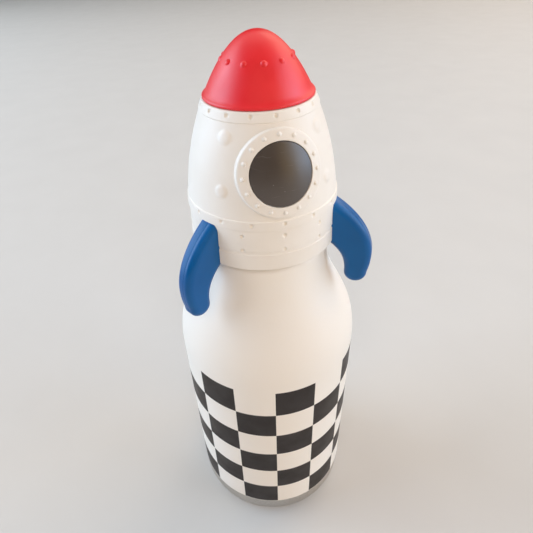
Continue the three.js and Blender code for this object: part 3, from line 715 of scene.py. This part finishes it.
def fin_blade(node, azimuth):
    """Crescent fin with rounded edges, thinner outwards, and a fine mould line along its edge."""
    tip = arc((34.8, 132.9), 4.1, 0, -180, 24)
    under = bezier((22, 147.3), (29, 142.9), (30.8, 138.3), (30.7, 132.9), 34)
    outer = bezier((38.9, 133.4), (39.4, 135.2), (FIN_REACH, 137.4), (FIN_REACH, 140.6), 14)
    upper = bezier((FIN_REACH, 140.6), (FIN_REACH, 152), (30, 159.8), (22, 163.8), 44)
    outline = np.array([(19, 147.3), *under, *tip[-2::-1], *outer[1:], *upper[1:], (19, 165)], float)
    half = FIN_ROOT_THICK / 2
    quarter = np.linspace(0, math.pi / 2, 9)
    round_off = [(FIN_EDGE * (1 - math.sin(a)), half - FIN_EDGE * (1 - math.cos(a))) for a in quarter]
    line = [(0, 0.7), (0.08, 0.58), (0.08, 0.46), (0, 0.34)]
    profile = round_off + line + [(d, -y) for d, y in reversed(round_off)]
    rows = []
    for distance, y in profile:
        loop = inset(outline, distance)
        share = np.clip((loop[:, 0] - WAIST_R) / (FIN_REACH - WAIST_R), 0, 1)
        thin = 1 + share * (FIN_TIP_THICK / FIN_ROOT_THICK - 1)
        rows.append(np.stack([loop[:, 0], y * thin, loop[:, 1]], -1))
    rows = np.array(rows)
    count = len(outline)
    index = np.arange(len(rows) * count).reshape(len(rows), count)
    beside = np.roll(index, -1, 1)
    quads = np.stack([index[:-1], beside[:-1], beside[1:], index[1:]], -1).reshape(-1, 4).tolist()
    caps = [index[0].tolist(), index[-1][::-1].tolist()]
    name = node.replace("fin_", "blade_")
    piece = solid(name, rows.reshape(-1, 3), quads + caps, BLUE)
    shape = bmesh.new()
    shape.from_mesh(piece.data)
    everything = [*shape.verts, *shape.edges, *shape.faces]
    bmesh.ops.bisect_plane(
        shape, geom=everything, plane_co=(FIN_CUT * MM, 0, 0), plane_no=(1, 0, 0), clear_inner=True,
        dist=1e-7,
    )
    bmesh.ops.holes_fill(shape, edges=[e for e in shape.edges if e.is_boundary])
    bmesh.ops.recalc_face_normals(shape, faces=shape.faces)
    shape.to_mesh(piece.data)
    shape.free()
    tenon = box("tenon", (24.1, -1.5, 150.5), (27, 1.5, 158.5), 0.2, BLUE)
    join(piece, tenon)
    piece.data.transform(fin_turn(azimuth))
    return keep(piece, "lid", "blue_plastic", node)


# ---- nose ----------------------------------------------------------------------------------------


def nose_point(share, shrink=0.0):
    """(radius, height) on the nose's paraboloid, from its rim at 0 to its tip at 1."""
    height = NOSE_TOP - NOSE_Z
    return (NOSE_R - shrink) * (1 - share), NOSE_Z + (height - shrink) * (1 - (1 - share) ** 2)


def nose_skin():
    """Soft red nose with a rolled rim and a ring of rivets."""
    count, first, rivet_z = NOSE_RIVETS
    rivet_share = 1 - math.sqrt(1 - (rivet_z - NOSE_Z) / (NOSE_TOP - NOSE_Z))
    rivet_azimuths = [(first + i * 360 / count) % 360 for i in range(count)]
    azimuths = stations(0, 360, 2.4, *[(a, 6.4, 0.64) for a in rivet_azimuths])[:-1]
    shares = stations(0.05, 1, 0.02, (rivet_share, 0.06, 0.0055))
    outer = np.array([ring(*nose_point(s), azimuths) for s in shares])
    fall = 2 * (NOSE_TOP - NOSE_Z) * (1 - shares) / NOSE_R
    steep = fall[:, None, None]
    turn = np.radians(azimuths)
    flat = np.stack([np.sin(turn), -np.cos(turn), 0 * turn], -1)[None]
    normal = (flat * steep + np.array([0, 0, 1])) / np.sqrt(1 + steep**2)
    centres = [ring(*nose_point(rivet_share), [a])[0] for a in rivet_azimuths]
    outer = outer + normal * bumps(outer, centres, *NOSE_RIVET)[..., None]
    rim = [
        (15.6, NOSE_Z), (16.5, NOSE_Z), (16.8, NOSE_Z - 0.17), (17.1, NOSE_Z - 0.15), (17.27, NOSE_Z + 0.05),
        (17.3, NOSE_Z + 0.35), (17.22, NOSE_Z + 0.62), (17.05, NOSE_Z + 0.8), (16.82, NOSE_Z + 0.95),
        (16.62, NOSE_Z + 1.16),
    ]
    inner = [nose_point(s, 1.5) for s in np.linspace(1, 0.02, 18)]
    rows = [ring(r, z, azimuths) for r, z in [*inner, *rim]]
    piece = wrap("nose_skin", [*rows, *outer], RED, closed=False)
    notch = box("notch", (-5.4, 12, NOSE_Z - 2), (5.4, 22, NOSE_Z + 1.75), 0.6, RED)
    return keep(cut(piece, notch), "nose", "red_silicone", "nose_cone", sharp=60)


def nose_liner():
    """Stiff liner of the nose with its knuckles, catch and the stopper's post."""
    low, tall = NOSE_Z + 0.1, NOSE_TOP - NOSE_Z - 2
    r = NOSE_R - 1.85
    wall = 1.1
    outside, inside = (
        [((r - deep) * (1 - s), low + (tall - deep) * (1 - (1 - s) ** 2)) for s in shares]
        for deep, shares in ((0, np.linspace(0, 1, 26)), (wall, np.linspace(0.885, 0, 20)))
    )
    outline = [(0, 207.1), (1.6, 207.1, 0.3), (1.6, low + tall - 1.4, 0.3), *inside, *outside]
    piece = revolve("nose_liner", outline, GREY, columns=112)
    ears = [
        hinge_ear(f"knuckle_{i}", *span, 13.9, low + 0.2, 197.1, GREY) for i, span in enumerate(KNUCKLE_SPANS)
    ]
    hook = [
        (-14.4, 196.2), (-9.4, 196.2), (-9.4, 192.6), (-10.2, 192.4), (-10.2, 191.9), (-9.3, 191.4),
        (-8, 191.4), (-8, 197.4), (-14.4, 197.4),
    ]
    catch = prism("catch", hook, -2.6, 2.6, 0.15, GREY)
    return keep(join(piece, *ears, catch), "nose", "grey_plastic", "nose_frame")


def stopper():
    """Soft pad that closes the spout."""
    outline = [(0, 205), (4.4, 205, 0.4), (4.9, 205.8, 0.4), (4.4, 206.9, 0.4), (1.5, 207.1), (0, 207.1)]
    return keep(revolve("stopper_pad", outline, CLEAR, columns=64), "nose", "clear_silicone", "spout_stopper")


def hinge_pin():
    """Steel pin of the nose hinge with rounded ends."""
    piece = rod("hinge_pin", 0.7, -7.8, 7.8, HINGE_Y, HINGE_Z, 0.2, WIRE, 32)
    return keep(piece, "lid", "bare_steel", "nose_hinge_pin")


def coil_spring(name, centre, radius, x_low, x_high, turns, leg):
    """Torsion spring about X with one straight leg."""
    turn = np.linspace(0, turns, int(turns * 28))
    points = np.stack([
        np.linspace(x_low, x_high, len(turn)), centre[0] + radius * np.cos(turn * 2 * np.pi),
        centre[1] + radius * np.sin(turn * 2 * np.pi),
    ], -1)
    end = points[-1] + np.array([0, *leg])
    return wire(name, [*points, *[points[-1] + (end - points[-1]) * s for s in (0.15, 0.5, 1)]], 0.25, WIRE)


# ---- lid insides ---------------------------------------------------------------------------------


def screw_collar():
    """Threaded collar with its deck and the short tube for the straw."""
    bore, tube_in, tube_out = 22.35, 3.9, 5.6
    low, high = COLLAR_DECK
    r = COLLAR_R
    outline = [
        (tube_in, low - 2, 0.2), (tube_out, low - 2, 0.3), (tube_out, low), (bore, low, 0.4),
        (bore, COLLAR_LOW, 0.3), (r, COLLAR_LOW, 0.3), (r, high, 0.5), (tube_out, high, 0.4),
        (tube_out, 172, 0.3), (tube_in, 172, 0.3),
    ]
    piece = revolve("screw_collar", outline, CREAM, columns=128)
    thread_r = bore - THREAD["rise"] + THREAD["bead"]
    thread = thread_wire("collar_thread", thread_r, THREAD["start"] + 0.2, -1, CREAM)
    keep(thread, "lid", "cream_plastic")
    return keep(piece, "lid", "cream_plastic", "lid_collar")


def seal_ring():
    """Seal between the collar and the neck's rim, with a bead in its middle."""
    low, high = [c.z for c in corners("lid_gasket")]
    outer = corners("lid_gasket")[1].x
    outline = [
        (18.6, low, 0.15), (19.6, low, 0.2), (19.9, low + 0.12, 0.2), (20.4, low + 0.12, 0.2),
        (20.7, low, 0.2), (outer - 0.3, low, 0.15), (outer, (low + high) / 2, 0.2),
        (outer - 0.3, high, 0.15), (18.6, high, 0.15),
    ]
    return keep(revolve("seal_ring", outline, CLEAR, columns=128), "gasket", "clear_silicone", "lid_gasket")


def drinking_deck():
    """Inner deck with the drinking tube and the latch's lugs and slot."""
    socket = 5.9
    outline = [
        (socket, 167, 0.2), (TUBE_R, 167, 0.3), (TUBE_R, DECK_LOW, 0.8), (DECK_R, DECK_LOW, 0.3),
        (DECK_R, DECK_HIGH, 0.4), (7.6, DECK_HIGH, 0.3), (7.4, DECK_HIGH + 0.25, 0.2),
        (6.9, DECK_HIGH + 0.25, 0.2), (6.8, DECK_HIGH, 0.2), (4, DECK_HIGH, 0.2), (4, 173.3), (socket, 173.3),
    ]
    piece = revolve("drinking_deck", outline, CREAM, columns=128)
    lugs = [
        box(f"lug_{i}", (x, -14.6, 183), (x + 1.6, -10.6, 192.6), 0.3, CREAM)
        for i, x in enumerate((-5.5, 3.9))
    ]
    piece = join(piece, *lugs)
    slot = box("latch_slot", (-3.5, -15.3, 189), (3.5, -7.5, 195), 0.3, CREAM)
    bore = rod("latch_bore", 1.15, -7, 7, LATCH_Y, LATCH_Z, 0.01, CREAM, 32)
    return keep(cut(piece, slot, bore), "lid", "cream_plastic", "spout_deck")


def mouthpiece():
    """Soft spout with a rounded lip."""
    low = DECK_HIGH + GAP
    top = SPOUT_TOP
    outline = [
        (2.6, low), (6.6, low, 0.4), (6.6, low + 1.2, 0.4), (4.6, low + 1.9, 0.8), (3.9, low + 5, 1),
        (4, top - 2, 0.6), (4.4, top - 1, 0.3), (4.4, top, 0.5), (2.4, top, 0.5), (2.2, top - 2, 0.6),
    ]
    return keep(revolve("mouthpiece", outline, CLEAR, columns=80), "lid", "clear_silicone", "spout")


def drinking_straw():
    """Straw with a rib near its top."""
    (_, _, low), (r, _, high) = corners("straw")
    bore = 2.8
    outline = [
        (bore, low, 0.2), (r, low, 0.3), *[(r, z) for z in np.linspace(low + 10, high - 16, 12)],
        (r, high - 6, 0.2), (r + 0.2, high - 5.6, 0.2), (r + 0.2, high - 5, 0.2), (r, high - 4.6, 0.2),
        (r, high, 0.3), (bore, high, 0.2),
    ]
    return keep(revolve("drinking_straw", outline, STRAW, columns=64), "lid", "straw_plastic", "straw")


def air_valve():
    """Mushroom valve that lets air into the bottle."""
    under, over = COLLAR_DECK[0] - GAP, COLLAR_DECK[1] + GAP
    outline = [
        (0, under - 0.8), (1.2, under - 0.75), (2.6, under - 0.3, 0.15), (2.6, under, 0.1), (0.7, under),
        (0.7, over), (1.4, over, 0.2), (1, over + 1, 0.3), (0, over + 1.2),
    ]
    piece = revolve("air_valve", outline, CLEAR, columns=48)
    piece.data.transform(Matrix.Translation((0, 11 * MM, 0)))
    return keep(piece, "lid", "clear_silicone", "vent_valve")


def rocking_latch():
    """Lever with its round hub and hook."""
    front, back = LATCH_Y - 1, LATCH_Y + 1
    low, high = 175.3, 194.5
    hub = 2.2
    lift = math.degrees(math.acos(1 / hub))
    back_hub, front_hub = (
        arc((LATCH_Y, LATCH_Z), hub, middle - lift, middle + lift, 10) for middle in (0, 180)
    )
    outline = [
        (front, low), (back, low), *back_hub, (back, high - 1.9), (back + 0.9, high - 1.1),
        (back + 0.9, high - 0.6), (back, high), (front + 0.3, high), *front_hub,
    ]
    piece = prism("rocking_latch", outline, -3, 3, 0.2, GREY)
    bore = rod("lever_bore", 1.15, -7, 7, LATCH_Y, LATCH_Z, 0.01, GREY, 32)
    room = box("spring_room", (0.8, LATCH_Y - 3, LATCH_Z - 2.4), (4, LATCH_Y + 3, LATCH_Z + 2.4), 0.2, GREY)
    return keep(cut(piece, bore, room), "latch", "grey_plastic", "latch_lever")


def lid_insides():
    """Everything that the shell and the nose cover."""
    screw_collar()
    seal_ring()
    drinking_deck()
    mouthpiece()
    drinking_straw()
    air_valve()
    rocking_latch()
    keep(rod("rocker_pin", 1, -5.8, 5.8, LATCH_Y, LATCH_Z, 0.25, WIRE, 32), "lid", "bare_steel", "latch_pin")
    rocker_spring = coil_spring("rocker_spring", (LATCH_Y, LATCH_Z), 1.65, 1.4, 3.1, 3, (0, -4))
    keep(rocker_spring, "latch", "bare_steel", "latch_spring")
    tip_spring = coil_spring("tip_spring", (HINGE_Y, HINGE_Z), 1.3, -2, 2, 5, (0, 1))
    keep(tip_spring, "nose", "bare_steel", "nose_spring")
    for node, material in (("tube_seal", CLEAR), ("vacuum_seal", BRUSHED)):
        for slot in frame["nodes"][node].material_slots:
            slot.material = material


# ---- studio --------------------------------------------------------------------------------------

CAMERA_AT = (-35.5, -134.4, 236.4)
CAMERA_HEADING, CAMERA_TILT, CAMERA_ROLL = 12.24, 37.53, -3.68  # degrees; heading from +Y towards +X
CAMERA_LENS = 29.94
CAMERA_SHIFT = (0.0328, -0.0028)
VIEW_AZIMUTH = -14.8
SOFTBOX, SOFTBOX_AWAY = 2.2, 2.6  # metres
FLOOR_HALF = 6000


def camera():
    """The camera, above the bottle and a little to the left of the window."""
    data = bpy.data.cameras.new("camera")
    data.lens = CAMERA_LENS
    data.shift_x, data.shift_y = CAMERA_SHIFT
    data.clip_start, data.clip_end = 0.01, 50
    eye = bpy.data.objects.new("camera", data)
    heading = Matrix.Rotation(math.radians(-CAMERA_HEADING), 4, "Z")
    tilt = Matrix.Rotation(math.radians(90 - CAMERA_TILT), 4, "X")
    roll = Matrix.Rotation(math.radians(CAMERA_ROLL), 4, "Z")
    eye.matrix_world = Matrix.Translation(Vector(CAMERA_AT) * MM) @ heading @ tilt @ roll
    bpy.context.scene.collection.objects.link(eye)
    bpy.context.scene.camera = eye


def soft_light(name, azimuth, elevation, power, colour):
    """A square softbox that faces the bottle; its azimuth is counted from the camera's side."""
    data = bpy.data.lights.new(name, "AREA")
    data.size = SOFTBOX
    data.energy = power
    data.color = colour
    lamp = bpy.data.objects.new(name, data)
    turn, rise = math.radians(VIEW_AZIMUTH + azimuth), math.radians(elevation)
    aim = Vector((0, 0, 0.12))
    out = Vector((math.sin(turn) * math.cos(rise), -math.cos(turn) * math.cos(rise), math.sin(rise)))
    lamp.location = aim + out * SOFTBOX_AWAY
    lamp.rotation_euler = out.to_track_quat("Z", "Y").to_euler()
    bpy.context.scene.collection.objects.link(lamp)
    return lamp


def floor_finish():
    """Plain pale floor with a faint mottle."""
    f = Finish("pale_floor", Specular_IOR_Level=0.3)
    f.colour(f.blend(f.noise(60, 4), rgb(206, 203, 198), rgb(212, 209, 204)))
    f.rough(f.spread(f.noise(40, 3), 0.55, 0.7))
    f.bump((f.noise(6, 3), 0.05))
    return f.material


def studio():
    """Floor, soft light from both sides and the camera."""
    edge = [(x * FLOOR_HALF, y * FLOOR_HALF, 0) for x, y in ((-1, -1), (1, -1), (1, 1), (-1, 1))]
    plane = solid("floor", edge, [[0, 1, 2, 3]], floor_finish())
    soft_light("left_window", -95, 20, 66, (0.58, 0.76, 1.0))
    soft_light("right_window", 85, 16, 54, (0.53, 0.73, 1.0))
    soft_light("right_glow", 55, 16, 15, (1.0, 0.65, 0.2))
    soft_light("back_left", -120, 30, 19, (0.89, 0.99, 1.0))
    soft_light("back_right", 135, 35, 32, (1.0, 0.83, 0.67))
    soft_light("overhead", 180, 68, 16, (1.0, 0.94, 0.9))
    front = soft_light("front_wall", 0, 40, 34, (1.0, 0.86, 0.76))
    front.visible_glossy = False
    world = bpy.data.worlds.new("room")
    world.use_nodes = True
    world.node_tree.nodes["Background"].inputs["Color"].default_value = (1.0, 0.95, 0.9, 1)
    world.node_tree.nodes["Background"].inputs["Strength"].default_value = 0.02
    bpy.context.scene.world = world
    bpy.context.scene.view_settings.view_transform = "Standard"
    camera()


# ---- assembly ------------------------------------------------------------------------------------

studio()
coated_shell()
neck_thread()
drink_liner()
steel_base()
foot_plate()
rocket_shell()
porthole_ring()
porthole_button()
for fin, fin_azimuth in FIN_AZIMUTHS.items():
    fin_blade(fin, fin_azimuth)
nose_skin()
nose_liner()
stopper()
hinge_pin()
lid_insides()
